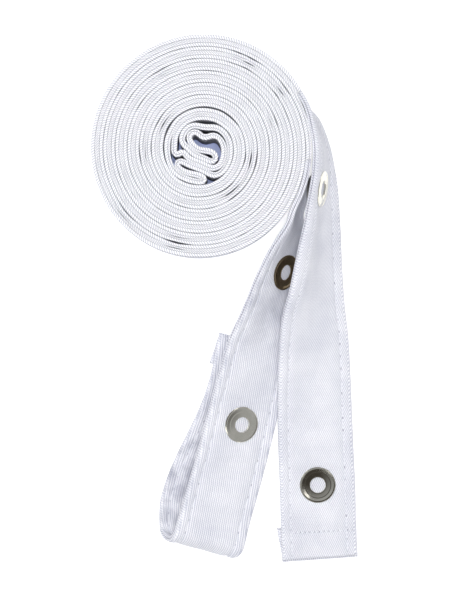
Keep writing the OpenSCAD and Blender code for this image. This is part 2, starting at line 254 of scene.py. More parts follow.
def fold_back(rows, normals, run, depth, side):
    """Rows, normals and half thicknesses of a strap that goes on round a hem fold at its end and back.
    The hem is depth long; side is -1 where it lies on the back, and 1 where it lies on the face."""
    nose, tuck = 0.9, 0.05        # how far the fold's outside and its inside reach past the strap's end
    flap, gap = 0.68, 0.04        # half the flap's thickness, and the room between it and the strap
    skew = 2.0                    # how far the flap's end has slipped sideways
    end, n, ahead = rows[-1], normals[-1], run[-1]
    parts = [(rows, normals, np.full(len(rows), HALF_T))]
    for a in np.linspace(0, math.pi, 9)[1:]:
        outer = np.array([nose * math.sin(a), HALF_T * (0.5 - 1.5 * math.cos(a))])
        inner = np.array([tuck * math.sin(a), HALF_T - gap * math.cos(a)])
        x, t = (outer + inner) / 2
        half = np.linalg.norm(inner - outer) / 2
        d = (inner - outer) / (2 * half)
        p = end + x * ahead + side * t * n
        parts.append((p[None], unit(d[0] * ahead + d[1] * side * n)[None], np.array([half])))
    count = int(depth / ROW_STEP)
    back = rows[-2:-2 - count:-1]
    back_n = normals[-2:-2 - count:-1]
    slip = np.linspace(0, skew, count)[:, None, None] * unit(np.gradient(back, axis=1))
    parts.append((back + side * (HALF_T + gap + flap) * back_n - slip, -back_n, np.full(count, flap)))
    return [np.concatenate([p[i] for p in parts]) for i in range(3)]


# --- the profile of a strap ---
# columns of half a face, by their distance from its edge: on the ends and on the roll
FACE_U = [1.5, 2.5, 3.4, 4.1, 4.6, 5.0, 5.4, 5.9, 6.8, 8.5, 11.5, 15.0, 19.0]
ROLL_FACE_U = [2.4, 4.2, 5.0, 5.8, 12.0, 19.0]
EDGE_A = np.array([90, 65, 40, 15, -15, -40, -65, -90])      # angles round one ply's edge
EDGE_MIDDLE = len(EDGE_A) - 1                                # the point of an edge that lies in the groove
EDGE_POINTS = 2 * EDGE_MIDDLE + 1
PLAIN_EDGE = [0, 3, 7, 11, 14]                               # the points kept of an edge on the floor
EDGE_V = 1.5                  # how far the cloth goes over an edge, from the groove to the face
SEAM_DENT, SEAM_DENT_W = 1.9, 0.75      # a seam's dent, as a share of the margin's puff, and its half width
SWELL = 0.12                  # how far the cloth between the seams swells


def edge_points(half, groove, depth, round_back):
    """The top edge from the face to the back: two rounded plies with a groove between them.
    half, groove and depth have one value per row, and round_back may have one for all. Where it is 1 the
    back ply is as round as the face ply, and where it is 0 it only slopes down to the groove.
    Returns u and t, rows by points."""
    half, groove, depth = half[:, None], groove[:, None], depth[:, None]
    face, back = rad(EDGE_A), rad(EDGE_A[1:])
    fall, rising = 1 - np.cos(back), 1 - np.sin(rad(90 - EDGE_A[1:]) / 2)
    rounded = rising + np.reshape(round_back, (-1, 1)) * (fall - rising)
    u = np.concatenate([depth * (1 - np.cos(face)), depth * rounded], 1)
    t = np.concatenate([(half + groove) / 2 + (half - groove) / 2 * np.sin(face),
                        (groove - half) / 2 + (half + groove) / 2 * np.sin(back)], 1)
    return u, t / half


def whole_face(face_u):
    """The face's columns from edge to edge, from those of its first half."""
    face_u = np.array(face_u)
    return np.concatenate([face_u, STRAP_W - face_u[::-1][1:]])


def profile(strap, groove, groove_depth, round_back, face_u, margin, low_plain=False):
    """u, t and v for each row and profile point, going round the strap: face, low edge, back, top edge.
    v is the way round in mm for the materials: u + EDGE_V on the face, -(u + EDGE_V) on the back."""
    rows = len(strap.s)
    half = strap.half
    groove = np.broadcast_to(groove, rows) * half / HALF_T
    depth = np.broadcast_to(groove_depth, rows)
    face_u = whole_face(face_u)
    from_edge = np.minimum(face_u, STRAP_W - face_u)
    seam = np.exp(-((from_edge - SEAM_INSET) / SEAM_DENT_W) ** 2)
    puff = np.sin(math.pi * np.clip(from_edge / SEAM_INSET, 0, 1))
    between_seams = np.clip((face_u - SEAM_INSET) / (STRAP_W - 2 * SEAM_INSET), 0, 1)
    swell = np.sin(math.pi * between_seams) ** 0.5
    pull = (0.8 + 0.2 * np.cos(2 * math.pi * strap.s / STITCH_PITCH))[:, None]
    t_face = 1 + (margin[:, None] * (puff - SEAM_DENT * seam * pull) + SWELL * swell) / HALF_T
    u_top, t_top = edge_points(half, groove, depth, round_back)
    u_low, t_low = edge_points(half, groove, depth, 1.0)
    step = np.arange(EDGE_POINTS)
    v_top = np.interp(step, (0, EDGE_MIDDLE, EDGE_POINTS - 1), (face_u[0] + EDGE_V, 0, -face_u[0] - EDGE_V))
    v_low = np.interp(step, (0, EDGE_MIDDLE), (-face_u[0], EDGE_V)) + STRAP_W + EDGE_V
    v_low[EDGE_MIDDLE + 1:] = -v_low[EDGE_MIDDLE - 1::-1]
    if low_plain:
        u_low, t_low, v_low = u_low[:, PLAIN_EDGE], t_low[:, PLAIN_EDGE], v_low[PLAIN_EDGE]
    u_face = np.broadcast_to(face_u, (rows, len(face_u)))
    u = np.concatenate([u_face, STRAP_W - u_low, u_face[:, ::-1], u_top[:, ::-1]], 1)
    t = np.concatenate([t_face, t_low, -t_face[:, ::-1], t_top[:, ::-1]], 1)
    v = np.concatenate([face_u + EDGE_V, v_low, -(face_u + EDGE_V)[::-1], v_top[::-1]])
    return u, t, v


# --- meshes ---
def new_mesh(name, points, faces, uvs=None):
    """An object in metres in the CAD model's frame, from points in mm measured from the roll's axis."""
    mesh = bpy.data.meshes.new(name)
    mesh.from_pydata(((np.asarray(points) + ROLL_AXIS) * MM).tolist(), [], faces)
    if uvs is not None:
        layer = mesh.uv_layers.new(name="along")
        layer.data.foreach_set("uv", np.asarray(uvs, np.float32).ravel())
    mesh.polygons.foreach_set("use_smooth", [True] * len(mesh.polygons))
    mesh.update()
    obj = bpy.data.objects.new(name, mesh)
    bpy.context.scene.collection.objects.link(obj)
    return obj


def ribbon(name, points, s, v):
    """A closed tube of rows of points, with its length in u and the way round it in v, in mm."""
    rows, ring = points.shape[:2]
    index = np.arange(rows * ring).reshape(rows, ring)
    nxt = np.roll(index, -1, axis=1)
    faces = np.stack([index[:-1], nxt[:-1], nxt[1:], index[1:]], -1).reshape(-1, 4)
    v1 = np.roll(v, -1)
    v0 = np.where(np.abs(v1 - v) > STRAP_W, -v, v)
    corners = [np.stack(np.broadcast_arrays(s_row[:, None], v_row), -1)
               for s_row, v_row in ((s[:-1], v0), (s[:-1], v1), (s[1:], v1), (s[1:], v0))]
    caps = [index[0][::-1].tolist(), index[-1].tolist()]
    uv = np.concatenate([np.stack(corners, 2).reshape(-1, 2), np.zeros((2 * ring, 2))])
    return new_mesh(name, points.reshape(-1, 3), faces.tolist() + caps, uv)


# a stitch: its length, and its width and its height over the cloth at the shares STITCH_ALONG of it
STITCH_L = 5.2
STITCH_ALONG = np.array([-0.5, -0.42, -0.2, 0.2, 0.42, 0.5])
STITCH_W = [0.2, 0.45, 0.55, 0.55, 0.45, 0.2]
STITCH_H = [-0.15, 0.0, 0.12, 0.12, 0.0, -0.15]
HEM_STITCH_L = HEM_PITCH - 0.7
HEM_END = 1.5                 # the row across a hem stops this far from the strap's low edge


def between(points, at):
    """Points at the fractional positions at, along a list of points."""
    i = np.clip(np.floor(at).astype(int), 0, len(points) - 2)
    f = (at - i)[:, None]
    return points[i] * (1 - f) + points[i + 1] * f


def seam_runs(points, s, ring_at, first, last):
    """The middle line and the upward direction of each stitch in one seam, between two lengths."""
    seam = points[:, ring_at]
    across = points[:, ring_at + 1] - points[:, ring_at - 1]
    up = unit(np.cross(across, np.gradient(seam, axis=0)))
    runs = []
    for k in range(int(first / STITCH_PITCH) + 1, int(last / STITCH_PITCH)):
        at = np.interp(k * STITCH_PITCH + STITCH_ALONG * STITCH_L, s, np.arange(len(s)))
        runs.append((between(seam, at), between(up, at)))
    return runs


def hem_runs(points, s, face_u, hem):
    """The same for the row of stitches across the strap that holds the hem, on its face."""
    row_at = np.interp(hem, s, np.arange(len(s)))
    low = int(row_at)
    row = points[low] * (1 + low - row_at) + points[low + 1] * (row_at - low)
    row = row[:len(face_u)]
    ahead = points[low + 1, :len(face_u)] - points[low, :len(face_u)]
    up = unit(np.cross(np.gradient(row, axis=0), ahead))
    runs = []
    for u in np.arange(SEAM_INSET + HEM_PITCH / 2, STRAP_W - HEM_END, HEM_PITCH):
        at = np.interp(u + STITCH_ALONG * HEM_STITCH_L, face_u, np.arange(len(face_u)))
        runs.append((between(row, at), between(up, at)))
    return runs


def stitches(name, runs):
    """Threads lying along runs, sunk at their two ends where they go into the cloth, as one mesh."""
    sides, flatness = 6, 0.7
    ring = 2 * math.pi * np.arange(sides) / sides
    points, faces = [], []
    for line, up in runs:
        base = len(points)
        side = np.cross(unit(np.gradient(line, axis=0)), up)
        for p, u, d, w, h in zip(line, up, side, STITCH_W, STITCH_H):
            for a in ring:
                points.append(p + h * u + w / 2 * (d * math.cos(a) + flatness * u * math.sin(a)))
        for r in range(len(line) - 1):
            for m in range(sides):
                a, b = base + r * sides + m, base + r * sides + (m + 1) % sides
                faces.append([a, b, b + sides, a + sides])
        faces.append([base + m for m in range(sides)][::-1])
        faces.append([base + (len(line) - 1) * sides + m for m in range(sides)])
    return new_mesh(name, np.array(points), faces)


# --- snaps ---
def snap_frame(sections, q, lift):
    """The middle of a snap on the strap's middle surface, its outward normal and the lift of its ring."""
    row = smooth(sections, [q])[0]
    ahead = smooth(sections, [q + 0.1])[0] - smooth(sections, [q - 0.1])[0]
    normal = unit(np.cross(unit(ahead), unit(np.gradient(row, axis=0))))
    return row[COLUMNS // 2], unit(normal[COLUMNS // 2]), lift


def seat_snaps(points, t, normals, snaps):
    """Flattens the cloth between a snap's ring and its socket or stud, and draws it in round them."""
    seat_r, blend_r = 9.2, 15.0       # flat up to the first distance, untouched from the second
    reach, alike = 9, 0.3             # only cloth this near, whose normal is this much like the snap's
    sunk = 0.03                       # the ring's foot is this deep in the cloth
    for centre, n, lift in snaps:
        offset = points - centre
        height = offset @ n
        r = np.linalg.norm(offset - height[..., None] * n, axis=-1)
        near = (np.abs(height) < reach) & (normals @ n > alike)
        w = np.clip((blend_r - r) / (blend_r - seat_r), 0, 1)
        w = np.where(near, w * w * (3 - 2 * w), 0)
        target = np.where(t > 0, HALF_T + lift - sunk, -HALF_T)
        points = points + (w * (target - height))[..., None] * n
    return points


# --- the wound roll ---
def turn_r(j):
    """The radius of half turn j, counted from the outside."""
    return ROLL_R - j * STRAP_PITCH


# The strap inside the last regular turn, given as points: in to the fold in its middle, then out again.
CORE_IN = [
    (9, 15.5), (5, 17), (0, 18), (-5, 17.5), (-9, 15.5), (-12.5, 12), (-16, 7.5), (-18, 3.5), (-18, -0.5),
    (-18, -4), (-17, -7.5), (-15, -10.5), (-12.5, -13.5), (-9, -15.5), (-5.5, -16.5), (-2.5, -17), (0, -17),
    (1.5, -16), (0.5, -14.5), (-2, -13.5), (-5, -13), (-8.5, -12.5), (-11.5, -11.5), (-14, -9.5),
    (-14.5, -7.5), (-12.5, -6.5), (-9.5, -7), (-6.5, -8.5), (-4, -9), (-1.5, -10), (1.5, -12), (4, -14),
    (7, -14), (10, -11.5), (11.5, -8), (13, -4.5), (13, -0.5), (12.5, 3), (10.5, 6.5), (8, 9), (5.5, 10),
    (3, 10), (1, 9.5), (-1, 10), (-3.5, 11), (-6, 11), (-8.5, 10), (-10, 7), (-11, 4), (-10.5, 1),
    (-8, -1.5), (-5.5, -3.5), (-2.5, -5.5), (0.5, -7), (3, -8), (5, -7.5),
]
CORE_OUT = [
    (6.5, -5.5), (6, -3.5), (4, -2), (1.5, -1.5), (-1.5, -1.5), (-5, -0.5), (-7, 1.5), (-8, 4), (-7, 7),
    (-5, 8), (-2.5, 7.5), (-1.5, 5), (0.5, 4), (2.5, 5.5), (5, 6.5), (7, 5), (9.5, 2), (10, -1.5),
    (10, -5.5), (8.5, -8.5), (6, -10.5), (3, -10), (0.5, -8.5), (-2.5, -7), (-5.5, -6), (-7.5, -5.5),
    (-8.5, -3.5), (-9, -1), (-10.5, -0.5), (-11, -3), (-12.5, -4.5), (-14, -3.5), (-14.5, -0.5),
    (-14.5, 3), (-14, 7), (-12, 10), (-9, 12.5), (-5.5, 14), (-1.5, 15), (2, 14.5), (6, 14), (9.5, 11.5),
]


def even(line, step):
    """The same line with its points step apart."""
    length = lengths(line)
    at = np.linspace(0, length[-1], int(length[-1] / step) + 1)
    return np.stack([np.interp(at, length, line[:, i]) for i in range(2)], 1)


def arc(j, r, a0, a1):
    """Part of half turn j, from angle a0 to a1, at radius r."""
    step = 0.5
    centre = np.array(REAR_CENTRE) * (j % 2)
    a = rad(np.linspace(a0, a1, max(3, int(abs(rad(a1 - a0)) * r / step))))
    return np.stack([centre[0] + r * np.cos(a), centre[1] + r * np.sin(a)], 1)


def settle_core(line, around, step):
    """Pushes the core's strands apart until each has its own thickness, and keeps their bends soft."""
    apart = 2.92                      # the least distance between the middles of two strands
    strand = 4.4                      # points nearer than this along the strap belong to one strand
    rounds, smoothings, hold = 170, 6, 4
    home_pull, straighten, ease, push_share, most = 0.01, 0.03, 0.12, 0.45, 0.2
    home, order = line.copy(), np.arange(len(line))
    distant = np.abs(order[:, None] - order) * step > strand
    for _ in range(rounds):
        bend = np.zeros_like(line)
        bend[1:-1] = line[:-2] + line[2:] - 2 * line[1:-1]
        move = home_pull * (home - line) + straighten * bend
        move[2:-2] -= ease * (bend[1:-3] + bend[3:-1] - 2 * bend[2:-2])
        for others, mask in ((line, distant), (around, True)):
            away = line[:, None] - others
            gap = np.linalg.norm(away, axis=2) + 1e-9
            push = np.where((gap < apart) & mask, apart - gap, 0)
            share = np.maximum((push > 0).sum(1), 1)[:, None]
            move += push_share * (away * (push / gap)[..., None]).sum(1) / share
        move[:hold] = move[-hold:] = 0
        size = np.linalg.norm(move, axis=1, keepdims=True)
        line = line + move * np.minimum(1, most / np.maximum(size, 1e-9))
    for _ in range(smoothings):
        line[1:-1] = (line[:-2] + 2 * line[1:-1] + line[2:]) / 4
    return line


def wound_line(step):
    """The middle line of the strap in the roll: in from the front exit, round the core and out again."""
    edges = [FRONT_EXIT + 180 * j for j in range(HALF_TURNS + 1)]
    inward = [arc(j, turn_r(j), edges[j], edges[j + 1]) for j in range(HALF_TURNS)]
    outward = [arc(j, turn_r(j + 1), edges[j + 1], edges[j]) for j in reversed(range(HALF_TURNS))]
    lead = 13                         # points between the two that set the core's direction at each end
    ends = inward[-1][-1 - lead], inward[-1][-1], outward[0][0], outward[0][lead]
    route = np.array([ends[0], ends[1], *CORE_IN, *CORE_OUT, ends[2], ends[3]])
    samples = 12
    route = smooth(route, np.linspace(0, len(route) - 3, samples * len(route)))
    core_step, wall_step = 0.8, 0.6
    walls = (inward[-2:], outward[:2])
    around = np.concatenate([even(np.concatenate(wall), wall_step) for wall in walls])
    core = settle_core(even(route, core_step), around, core_step)
    line = np.concatenate(inward + [core] + outward + [arc(1, ROLL_R, FRONT_EXIT, REAR_EXIT)])
    doubled = 0.05
    keep = np.concatenate([[True], np.linalg.norm(np.diff(line, axis=0), axis=1) > doubled])
    return even(line[keep], step)


def roll_strap():
    """The strap in the roll: upright sections along its middle line, with a slightly uneven top."""
    line = wound_line(ROW_STEP)
    run = unit(np.gradient(line, axis=0))
    outward = np.column_stack([run[:, 1], -run[:, 0], np.zeros(len(line))])
    s = lengths(line)
    settle = np.clip(np.minimum(s, s[-1] - s) / 25, 0, 1)
    top = STRAP_W + settle * (0.22 * ripple(s, 3, 61) + 0.12 * ripple(s, 5, 17))
    low, rings, spare = 0.02, 7, 0.03
    z = np.linspace(top, np.full_like(top, low), rings, axis=1)
    rows = np.stack(np.broadcast_arrays(line[:, :1], line[:, 1:], z), -1)
    normals = np.broadcast_to(outward[:, None], rows.shape)
    return Strap(rows, normals, np.full(len(line), HALF_T + spare))


# short places where two turns stand apart at the top: (distance from the axis, angle, half length)
SLITS = [
    (47.4, 70, 3), (46.5, 62, 3), (47.0, 36, 3), (51.6, 220, 5), (48.5, 254, 5), (30.5, 189, 3),
    (24.0, 345, 5), (25.5, 300, 7), (23.0, 150, 4), (35.5, 20, 3), (41.5, 120, 4),
]


def slit_share(strap):
    """How far each row of the rolled strap is drawn in by the slits, from 0 to 1."""
    x, y = strap.rows[:, 0, 0], strap.rows[:, 0, 1]
    r, a = np.hypot(x, y), np.degrees(np.arctan2(y, x))
    one_turn = 2.0
    share = np.zeros(len(r))
    for at_r, at_a, reach in SLITS:
        turned = (a - at_a + 180) % 360 - 180
        here = np.exp(-(rad(turned) * at_r / reach) ** 2)
        share = np.maximum(share, np.where(np.abs(r - at_r) < one_turn, here, 0))
    return share


GROOVE = 0.42                 # how far the groove lies off the middle of an edge, towards the back


def build_roll():
    """The rolled part of the strap, with its top edges pinched here and there."""
    strap = roll_strap()
    s = strap.s
    u, t, v = profile(strap, -GROOVE, 0.6, 0.0, ROLL_FACE_U, np.full(len(s), 0.08), low_plain=True)
    pinch = 0.10 * np.clip(ripple(s, 2, 33), 0, 1)[:, None] ** 2
    t = t * (1 - pinch * np.clip((6.0 - u) / 5.0, 0, 1))
    t = t * (1 - 0.24 * slit_share(strap)[:, None] * np.clip((14.0 - u) / 10.0, 0, 1))
    points, _ = strap.at(u, t)
    roll = ribbon("rolled_strap", points, s, v)
    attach(roll, "belt_roll")
    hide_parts("roll_front_ply", "roll_back_ply")
    return roll, strap, points


# --- the two ends ---
# Waves in the cloth: the lengths at which they start and reach their full height, the height, and the
# wavelengths along and across the strap.
FRONT_WAVES = [(60, 90, 0.3, 23, 31)]
REAR_WAVES = [(62, 82, 1.0, 36, 60), (200, 212, 1.5, 14, 17)]


def wavy(strap, points, normals, u, seed, waves):
    """The points with waves in the strap, up to its hem, that fade towards the low edge."""
    s = strap.s
    for start, full, height, along, across in waves:
        here = np.clip((s - start) / (full - start), 0, 1) * (strap.half == HALF_T)
        here = height * here * (0.6 + 0.4 * ripple(s, seed + 4, 29))
        phase = 2 * math.pi * (s[:, None] / along + u / across) + 1.5 * ripple(s, seed, 47)[:, None]
        shape = np.sin(math.pi * u / STRAP_W) ** 0.5 * (1 - 0.8 * u / STRAP_W)
        points = points + (here[:, None] * np.sin(phase) * shape)[..., None] * normals
    return points


def build_end(name, sections, snap_list, hem_side, exit_groove, seed, waves, curl=False):
    """One end of the belt, from the roll to the end of its hem. Its edge's groove starts where the roll's
    lies, at exit_groove, and moves to the middle."""
    rows, normals, run = follow(sections, ROW_STEP, curl)
    fold_row = len(rows) - 1
    strap = Strap(*fold_back(rows, normals, run, HEM_DEPTH, hem_side))
    strap.hem = strap.s[fold_row] - HEM_LINE
    s = strap.s
    fade = np.clip(1 - s / 30, 0, 1)
    settle = np.clip(s / 25, 0, 1)
    margin = 0.26 * settle * np.clip(strap.half / HALF_T, 0, 1)
    u, t, v = profile(strap, exit_groove * fade, 0.8 + 0.05 * settle, settle, FACE_U, margin)
    points, point_normals = strap.at(u, t)
    points = wavy(strap, points, point_normals, u, seed, waves)
    snaps = [snap_frame(sections, q, lift) for q, lift in snap_list]
    points = seat_snaps(points, t, point_normals, snaps)
    floor_z = 0.03
    points[..., 2] = np.maximum(points[..., 2], floor_z)
    return ribbon(name, points, s, v), strap, points


def front_end():
    strap_obj, strap, points = build_end(
        "front_end_strap", FRONT_SECTIONS, FRONT_SNAPS, -1, -GROOVE, 1, FRONT_WAVES, curl=True)
    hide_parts("front_lead_face_ply", "front_lead_back_ply", "front_tip_face_ply",
                "front_tip_back_ply", "front_hem_flap")
    blend_at(strap_obj, FRONT_SECTIONS, FRONT_HINGE)
    return strap_obj, strap, points


def rear_end():
    strap_obj, strap, points = build_end(
        "rear_end_strap", REAR_SECTIONS, REAR_SNAPS, 1, GROOVE, 2, REAR_WAVES)
    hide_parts("rear_lead_face_ply", "rear_lead_back_ply", "rear_fold_face_ply",
                "rear_fold_back_ply", "rear_return_face_ply", "rear_return_back_ply", "rear_hem_flap")
    blend_at(strap_obj, REAR_SECTIONS, REAR_HINGE)
    return strap_obj, strap, points


def blend_at(piece, sections, hinge):
    """Works out an end's hinge line and the directions across and ahead of it, which nothing uses, and bakes
    the piece's transform into its mesh.
    """
    q, before, after = hinge
    row = smooth(sections, [q])[0]
    middle = row[COLUMNS // 2]
    across = unit(row[-1] - row[0])
    ahead = smooth(sections, [q + 0.1])[0][COLUMNS // 2] - middle
    ahead = ahead - across * (ahead @ across)
    ahead = unit(ahead * [1, 1, 0])
    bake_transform(piece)


# --- the raised faces of the lower rings ---
CROWN_OUT, CROWN_IN = 8.1, 3.9        # its radii, inside the ring's rim and round its hole
CROWN_FOOT, CROWN_RISE = 0.62, 0.75   # the height of the ring's flat face over the cloth, and the rise on it


def ring_crown(name, body, sections, snap):
    """The raised face of a snap's ring, turned about the snap's axis and set on the ring's flat face."""
    turns, arch_points, lip, sunk = 72, 10, 0.25, 0.3
    arch = np.linspace(CROWN_OUT, CROWN_IN + lip, arch_points)
    rise = CROWN_FOOT + CROWN_RISE * (CROWN_OUT ** 2 - arch ** 2) / (CROWN_OUT ** 2 - CROWN_IN ** 2)
    top = rise[-1]
    r = np.concatenate([arch, [CROWN_IN + 0.07, CROWN_IN, CROWN_IN, CROWN_OUT]])
    z = np.concatenate([rise, [top - 0.05, top - 0.2, CROWN_FOOT - sunk, CROWN_FOOT - sunk]])
    centre, n, lift = snap_frame(sections, *snap)
    side = unit(np.cross([0.0, 1.0, 0.0], n))
    other = np.cross(n, side)
    a = np.linspace(0, 2 * math.pi, turns, endpoint=False)[:, None]
    spokes = np.cos(a) * side + np.sin(a) * other
    points = centre + r[None, :, None] * spokes[:, None] + ((HALF_T + lift + z)[:, None] * n)[None]
    index = np.arange(turns * len(r)).reshape(turns, len(r))
    after, inside = np.roll(index, -1, axis=0), np.roll(index, -1, axis=1)
    faces = np.stack([index, after, np.roll(after, -1, axis=1), inside], -1).reshape(-1, 4).tolist()
    obj = new_mesh(name, points.reshape(-1, 3), faces)
    obj.data.set_sharp_from_angle(angle=rad(40))
    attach(obj, body)
    return obj


# --- stitches ---
def end_stitches(name, strap, points):
    """Both seams on both sides of an end, and the row across its hem."""
    face_u = whole_face(FACE_U)
    n, seam = len(face_u), FACE_U.index(SEAM_INSET)
    back = n + EDGE_POINTS
    clear = 2                         # the seams stop this far from the strap's ends
    runs = []
    for ring_at in (seam, n - 1 - seam, back + seam, back + n - 1 - seam):
        runs += seam_runs(points, strap.s, ring_at, clear, strap.s[-1] - clear)
    runs += hem_runs(points, strap.s, face_u, strap.hem)
    obj = stitches(name, runs)
    return obj


def roll_stitches(strap, points):
    """The two seams round the outside of the roll, where the outer turn shows."""
    n, seam = len(whole_face(ROLL_FACE_U)), ROLL_FACE_U.index(SEAM_INSET)
    clear = 2
    shown = math.pi * (2 * ROLL_R - STRAP_PITCH) * 0.97
    runs = []
    for ring_at in (seam, n - 1 - seam):
        runs += seam_runs(points, strap.s, ring_at, clear, shown)
    obj = stitches("roll_seam_stitches", runs)
    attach(obj, "belt_roll")
    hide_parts("roll_seam_threads")
    return obj


# --- materials ---
def srgb(r, g, b):
    """A colour given as 0 to 255 on the screen, as the shader wants it."""
    def linear(c):
        c = c / 255
        return c / 12.92 if c <= 0.04045 else ((c + 0.055) / 1.055) ** 2.4
    return (linear(r), linear(g), linear(b), 1)


# Painted lit and shaded tones of the white cloth, which its ribs, hatch and blotches mix between; the EDGE
# pair is lighter, painted light on the roll's top edges. SHADOW is the colour of painted shade.
LIGHT, SHADE = srgb(240, 241, 246), srgb(160, 165, 184)
EDGE_LIGHT, EDGE_SHADE = srgb(254, 255, 255), srgb(206, 209, 225)
SHADOW = srgb(74, 79, 112)


class Nodes:
    """A short way to lay out a material's nodes."""

    def __init__(self, name):
        self.material = bpy.data.materials.new(name)
        self.material.use_nodes = True
        self.tree = self.material.node_tree
        self.tree.nodes.clear()
        self.shader = self.new("ShaderNodeBsdfPrincipled")
        self.link(self.shader.outputs["BSDF"], self.new("ShaderNodeOutputMaterial"), "Surface")

    def new(self, kind, **inputs):
        node = self.tree.nodes.new(kind)
        for key, value in inputs.items():
            node.inputs[key].default_value = value
        return node

    def set(self, **inputs):
        """Sets the shader's own sockets, with _ for a space in a socket's name."""
        for key, value in inputs.items():
            self.shader.inputs[key.replace("_", " ")].default_value = value

    def link(self, out, node, key):
        self.tree.links.new(out, node.inputs[key])

    def math(self, operation, a, b=0.0, c=0.0):
        node = self.new("ShaderNodeMath")
        node.operation = operation
        for i, value in enumerate((a, b, c)):
            if isinstance(value, (int, float)):
                node.inputs[i].default_value = value
            else:
                self.link(value, node, i)
        return node.outputs[0]

    def times(self, first, *others):
        """The product of sockets and numbers."""
        for value in others:
            first = self.math("MULTIPLY", first, value)
        return first

    def scaled(self, x, scale, offset):
        """x times scale, plus offset."""
        return self.math("MULTIPLY_ADD", x, scale, offset)

    def most(self, a, b):
        return self.math("MAXIMUM", a, b)

    def wave(self, x, pitch):
        """0 to 1 and back once in every pitch along x."""
        return self.scaled(self.math("SINE", self.times(x, 2 * math.pi / pitch)), 0.5, 0.5)

    def ramp(self, x, off, full):
        """0 where x is past off, 1 where it is past full, and smooth between."""
        node = self.new("ShaderNodeMapRange")
        node.interpolation_type = "SMOOTHSTEP"
        self.link(x, node, "Value")
        (low, at_low), (high, at_high) = sorted([(off, 0.0), (full, 1.0)])
        for key, value in (("From Min", low), ("From Max", high), ("To Min", at_low), ("To Max", at_high)):
            node.inputs[key].default_value = value
        return node.outputs["Result"]

    def near(self, x, place, off, full):
        """1 where x is within full of place, and 0 where it is further off than off."""
        return self.ramp(self.math("ABSOLUTE", self.math("SUBTRACT", x, place)), off, full)

    def mix(self, factor, a, b):
        node = self.tree.nodes.new("ShaderNodeMix")
        node.data_type = "RGBA"
        for key, value in (("Factor", factor), ("A", a), ("B", b)):
            socket = [i for i in node.inputs if i.name == key and (i.type == "RGBA") == (key != "Factor")][0]
            if isinstance(value, (int, float, tuple)):
                socket.default_value = value
            else:
                self.tree.links.new(value, socket)
        return [o for o in node.outputs if o.type == "RGBA"][0]

    def noise(self, vector, scale, detail):
        node = self.new("ShaderNodeTexNoise", Scale=scale, Detail=detail)
        self.link(vector, node, "Vector")
        return node.outputs["Fac"]

    def place(self):
        return self.new("ShaderNodeTexCoord").outputs["Object"]

    def bump(self, height, distance, strength=1.0):
        node = self.new("ShaderNodeBump", Distance=distance, Strength=strength)
        self.link(height, node, "Height")
        self.link(node.outputs["Normal"], self.shader, "Normal")


def slanted(m, along, around, angle):
    """The distance across lines that lie at an angle to the strap's length."""
    return m.math("SUBTRACT", m.times(along, math.sin(rad(angle))), m.times(around, math.cos(rad(angle))))


def ribs(m, along, around, wobble, angle, pitch):
    """The twill's diagonal ribs, each broken into short floats."""
    cross = m.math("ADD", slanted(m, along, around, angle), m.times(wobble, 0.5))
    down = m.math("ADD", m.times(along, math.cos(rad(angle))), m.times(around, math.sin(rad(angle))))
    float_step = m.times(m.math("FLOOR", m.math("DIVIDE", cross, pitch)), 0.37)
    floats = m.wave(m.math("ADD", down, float_step), pitch * 0.9)
    return m.scaled(floats, 0.2, m.times(m.wave(cross, pitch), 0.8))


def rope_hatch(m, along, around, wobble):
    """The yarns seen end on along a folded edge, as a hatch like a rope's."""
    angle, pitch = 69, 1.17
    cross = m.math("ADD", slanted(m, along, around, angle), m.times(wobble, 0.4))
    return m.wave(cross, pitch)


def seam_holes(m, along, from_groove, patchy, strengths):
    """Painted shade in the needle holes of the two seams, at the ends of their stitches."""
    place = m.math("FRACT", m.math("DIVIDE", along, STITCH_PITCH))
    hole = m.times(m.near(place, 0.5, 0.14, 0.09), m.ramp(patchy, 0.36, 0.62))
    first, second = [m.times(m.near(from_groove, inset + EDGE_V, 0.42, 0.2), hole, strength)
                     for inset, strength in zip((SEAM_INSET, STRAP_W - SEAM_INSET), strengths)]
    return m.most(first, second)


def hem_holes(m, uv, along, from_groove, hem_at):
    """Painted shade in the needle holes of the row of stitches across a hem."""
    place = m.math("FRACT", m.math("DIVIDE", from_groove, HEM_PITCH))
    hole = m.times(m.near(place, 0.5, 0.3, 0.2), m.ramp(m.noise(uv, 0.4, 2.0), 0.3, 0.6))
    inside = m.ramp(from_groove, SEAM_INSET + EDGE_V - 0.4, SEAM_INSET + EDGE_V)
    return m.times(m.near(along, hem_at, 0.45, 0.25), hole, inside, 0.6)


def deep_cloth_shade(m, along, from_groove, first, last):
    """Painted shade on the cloth between turns, below its edges, from the length first to last."""
    below = m.ramp(from_groove, 4.0, 7.5)
    return m.times(below, m.ramp(along, first, first + 4), m.ramp(along, last, last - 4), 0.38)


def painted_shade_patches(m, uv, along, start, full, last, end, shade_strength):
    """Patches of painted shade that start at a length, are full at the next, and fade from last to end."""
    patches = m.ramp(m.noise(uv, 0.11, 2.0), 0.36, 0.66)
    return m.times(patches, m.ramp(along, start, full), m.ramp(along, end, last), shade_strength)


# how far from the groove the edge's hatch is gone and full, its share, and how blotchy the cloth is: patches
# of random tone that also stand in for soft painted shade
ROLLED_CLOTH = (4.8, 4.0, 1.0, 0.2)
LAID_CLOTH = (3.6, 2.6, 0.6, 0.55)


